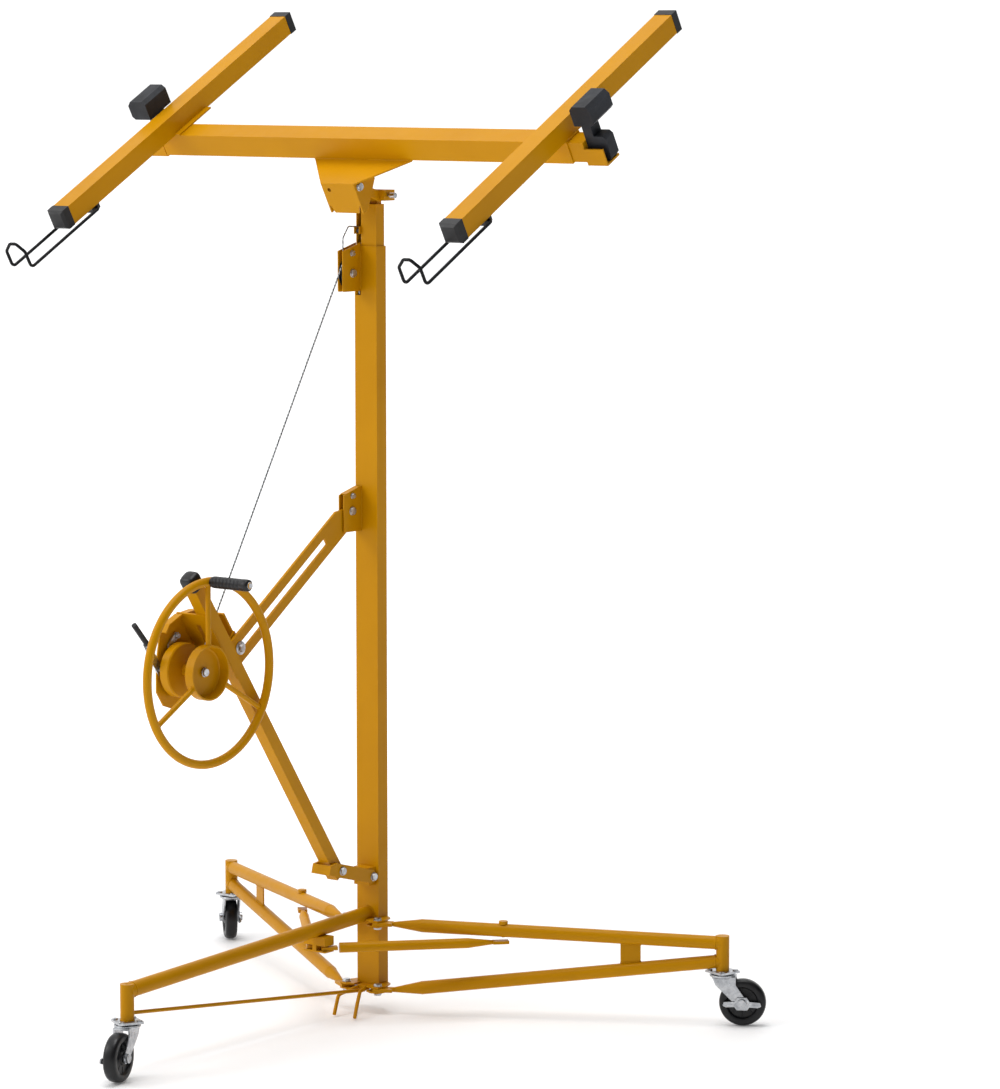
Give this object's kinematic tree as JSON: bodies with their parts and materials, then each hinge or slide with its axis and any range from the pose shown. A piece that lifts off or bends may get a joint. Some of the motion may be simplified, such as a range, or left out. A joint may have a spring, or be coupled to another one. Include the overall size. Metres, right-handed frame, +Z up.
{
  "type": "drywall lift",
  "caption": "Rolling panel hoist: tripod base on casters, telescoping mast raised by a hand-wheel winch, and a tilting cradle with cross arms, hooks and telescoping outriggers.",
  "frame": {"origin": "on the floor, on the axis of the mast", "axes": "+X along the cradle's crossbeam towards the hand wheel's side, -Y towards the winch and the operator, +Z up"},
  "size_m": [1.3548, 1.1258, 1.8857],
  "materials": {
    "yellow_paint": "glossy powder coat",
    "black_plastic": "moulded, slightly glossy",
    "black_paint": "glossy black coat",
    "zinc": "zinc plated",
    "cable_steel": "stranded steel",
    "rubber": "matte black rubber",
    "glide_plastic": "pale moulded plastic",
    "caster_tread": "dark moulded wheel"
  },
  "bodies": {
    "base": {"outer_mast": "yellow_paint", "pulley_bracket": "yellow_paint", "brace_bracket": "yellow_paint", "mast_bolts": "zinc", "strut_link": "yellow_paint", "leg_hubs": "yellow_paint", "front_leg": "yellow_paint", "stand_rods": "yellow_paint", "hoist_cable": "cable_steel", "front_caster_plate": "zinc"},
    "middle_section": {"middle_mast": "yellow_paint", "inner_lift_cable": "cable_steel"},
    "roller": {"middle_roller": "black_plastic"},
    "inner_section": {"inner_mast": "yellow_paint", "inner_glides": "glide_plastic", "mast_head": "yellow_paint"},
    "latch": {"tilt_latch": "zinc"},
    "cradle": {"cradle_beam": "yellow_paint", "left_arm": "yellow_paint", "right_arm": "yellow_paint", "arm_caps": "black_plastic", "hook_clips": "black_plastic", "tilt_bolt": "zinc"},
    "left_hook": {"left_hook": "black_paint"},
    "right_hook": {"right_hook": "black_paint"},
    "left_outrigger": {"left_outrigger": "yellow_paint", "left_pad": "rubber"},
    "right_outrigger": {"right_outrigger": "yellow_paint", "right_pad": "rubber"},
    "pulley": {"top_pulley": "black_plastic"},
    "strut": {"strut_tube": "yellow_paint", "strut_cap": "black_plastic", "winch_housing": "yellow_paint", "winch_axle": "zinc", "slot_bolt": "zinc"},
    "brace": {"slotted_brace": "yellow_paint"},
    "lever": {"brake_lever": "zinc", "brake_lever_grip": "black_plastic"},
    "pawl": {"ratchet_pawl": "zinc"},
    "drum": {"cable_drum": "yellow_paint", "ratchet_wheel": "yellow_paint", "cable_windings": "cable_steel", "hand_wheel": "yellow_paint"},
    "spinner": {"spinner_grip": "black_plastic"},
    "left_leg": {"left_leg": "yellow_paint", "left_caster_plate": "zinc"},
    "right_leg": {"right_leg": "yellow_paint", "right_caster_plate": "zinc"},
    "left_stretcher": {"left_stretcher": "yellow_paint"},
    "right_stretcher": {"right_stretcher": "yellow_paint"},
    "front_swivel": {"front_fork": "zinc"},
    "front_roll": {"front_wheel": "caster_tread"},
    "front_brake": {"front_pedal": "zinc"},
    "right_swivel": {"right_fork": "zinc"},
    "right_roll": {"right_wheel": "caster_tread"},
    "right_brake": {"right_pedal": "zinc"},
    "left_swivel": {"left_fork": "zinc"},
    "left_roll": {"left_wheel": "caster_tread"},
    "left_brake": {"left_pedal": "zinc"}
  },
  "joints": [
    {"name": "mast_lift", "type": "slide", "parent": "base", "child": "middle_section", "axis": [0, 0, 1], "range_m": [0, 0.87], "deforming": ["hoist_cable"]},
    {"name": "inner_lift", "type": "slide", "parent": "middle_section", "child": "inner_section", "axis": [0, 0, 1], "range_m": [0, 0.87], "deforming": ["inner_lift_cable"]},
    {"name": "roller_spin", "type": "hinge", "parent": "middle_section", "child": "roller", "pos_m": [-0.018, -0.0096, 1.478], "axis": [1, 0, 0], "range_deg": [0, 8748]},
    {"name": "cradle_tilt", "type": "hinge", "parent": "inner_section", "child": "cradle", "pos_m": [0, -0.07933, 1.56289], "axis": [1, 0, 0], "range_deg": [-29.4, 35.6]},
    {"name": "latch_pull", "type": "slide", "parent": "inner_section", "child": "latch", "axis": [1, 0, 0], "range_m": [0, 0.03]},
    {"name": "left_hook_swing", "type": "hinge", "parent": "cradle", "child": "left_hook", "pos_m": [-0.465, -0.26118, 1.51896], "axis": [1, 0, 0], "range_deg": [0, 90]},
    {"name": "right_hook_swing", "type": "hinge", "parent": "cradle", "child": "right_hook", "pos_m": [0.465, -0.26118, 1.51896], "axis": [1, 0, 0], "range_deg": [0, 90]},
    {"name": "left_outrigger_slide", "type": "slide", "parent": "cradle", "child": "left_outrigger", "axis": [-1, 0, 0], "range_m": [0, 0.26]},
    {"name": "right_outrigger_slide", "type": "slide", "parent": "cradle", "child": "right_outrigger", "axis": [1, 0, 0], "range_m": [-0.029, 0.23]},
    {"name": "pulley_spin", "type": "hinge", "parent": "base", "child": "pulley", "pos_m": [-0.018, -0.0375, 1.4], "axis": [1, 0, 0], "range_deg": [0, 1814]},
    {"name": "strut_fold", "type": "hinge", "parent": "base", "child": "strut", "pos_m": [0, -0.116, 0.285], "axis": [1, 0, 0], "range_deg": [-9, 0]},
    {"name": "brace_swing", "type": "hinge", "parent": "base", "child": "brace", "pos_m": [-0.018, -0.042, 0.955], "axis": [1, 0, 0], "range_deg": [0, 2.6]},
    {"name": "lever_swing", "type": "hinge", "parent": "strut", "child": "lever", "pos_m": [-0.05, -0.53624, 0.70848], "axis": [1, 0, 0], "range_deg": [0, 20]},
    {"name": "pawl_swing", "type": "hinge", "parent": "strut", "child": "pawl", "pos_m": [-0.05, -0.49464, 0.76664], "axis": [1, 0, 0], "range_deg": [-25, 0]},
    {"name": "drum_spin", "type": "hinge", "parent": "strut", "child": "drum", "pos_m": [0, -0.49477, 0.70543], "axis": [1, 0, 0], "range_deg": [-3562, 0]},
    {"name": "spinner_spin", "type": "hinge", "parent": "drum", "child": "spinner", "pos_m": [0, -0.49477, 0.87043], "axis": [1, 0, 0], "continuous": true},
    {"name": "right_leg_fold", "type": "hinge", "parent": "base", "child": "right_leg", "pos_m": [0.038, -0.032, 0], "axis": [0, 0, 1], "range_deg": [-85, 0]},
    {"name": "left_leg_fold", "type": "hinge", "parent": "base", "child": "left_leg", "pos_m": [-0.038, -0.032, 0], "axis": [0, 0, 1], "range_deg": [0, 85]},
    {"name": "right_stretcher_fold", "type": "hinge", "parent": "base", "child": "right_stretcher", "pos_m": [0.017, -0.16, 0.145], "axis": [0, 0, 1], "range_deg": [-126, 0]},
    {"name": "left_stretcher_fold", "type": "hinge", "parent": "base", "child": "left_stretcher", "pos_m": [-0.017, -0.16, 0.145], "axis": [0, 0, 1], "range_deg": [0, 126]},
    {"name": "front_swivel", "type": "hinge", "parent": "base", "child": "front_swivel", "pos_m": [0, -0.69, 0.095], "axis": [0, 0, 1], "continuous": true},
    {"name": "front_roll", "type": "hinge", "parent": "front_swivel", "child": "front_roll", "pos_m": [0.01111, -0.72634, 0.044], "axis": [-0.9563, -0.2924, 0], "continuous": true},
    {"name": "front_pedal_press", "type": "hinge", "parent": "front_swivel", "child": "front_brake", "pos_m": [0.01111, -0.72634, 0.044], "axis": [-0.9563, -0.2924, 0], "range_deg": [0, 14]},
    {"name": "right_swivel", "type": "hinge", "parent": "right_leg", "child": "right_swivel", "pos_m": [0.60721, 0.29004, 0.095], "axis": [0, 0, 1], "continuous": true},
    {"name": "right_roll", "type": "hinge", "parent": "right_swivel", "child": "right_roll", "pos_m": [0.64012, 0.30905, 0.044], "axis": [0.5, -0.866, 0], "continuous": true},
    {"name": "right_pedal_press", "type": "hinge", "parent": "right_swivel", "child": "right_brake", "pos_m": [0.64012, 0.30905, 0.044], "axis": [0.5, -0.866, 0], "range_deg": [0, 14]},
    {"name": "left_swivel", "type": "hinge", "parent": "left_leg", "child": "left_swivel", "pos_m": [-0.60721, 0.29004, 0.095], "axis": [0, 0, 1], "continuous": true},
    {"name": "left_roll", "type": "hinge", "parent": "left_swivel", "child": "left_roll", "pos_m": [-0.635, 0.31596, 0.044], "axis": [0.682, 0.7314, 0], "continuous": true},
    {"name": "left_pedal_press", "type": "hinge", "parent": "left_swivel", "child": "left_brake", "pos_m": [-0.635, 0.31596, 0.044], "axis": [0.682, 0.7314, 0], "range_deg": [0, 14]}
  ],
  "couplings": [
    {"joint": "inner_lift", "follows": "mast_lift", "ratio": 1},
    {"joint": "drum_spin", "follows": "mast_lift", "rad_per_m": -71.429},
    {"joint": "pulley_spin", "follows": "mast_lift", "rad_per_m": 36.364},
    {"joint": "roller_spin", "follows": "mast_lift", "rad_per_m": 175.44},
    {"joint": "brace_swing", "follows": "strut_fold", "ratio": -0.279},
    {"joint": "right_stretcher_fold", "follows": "right_leg_fold", "ratio": 1.48},
    {"joint": "left_stretcher_fold", "follows": "left_leg_fold", "ratio": 1.48}
  ]
}
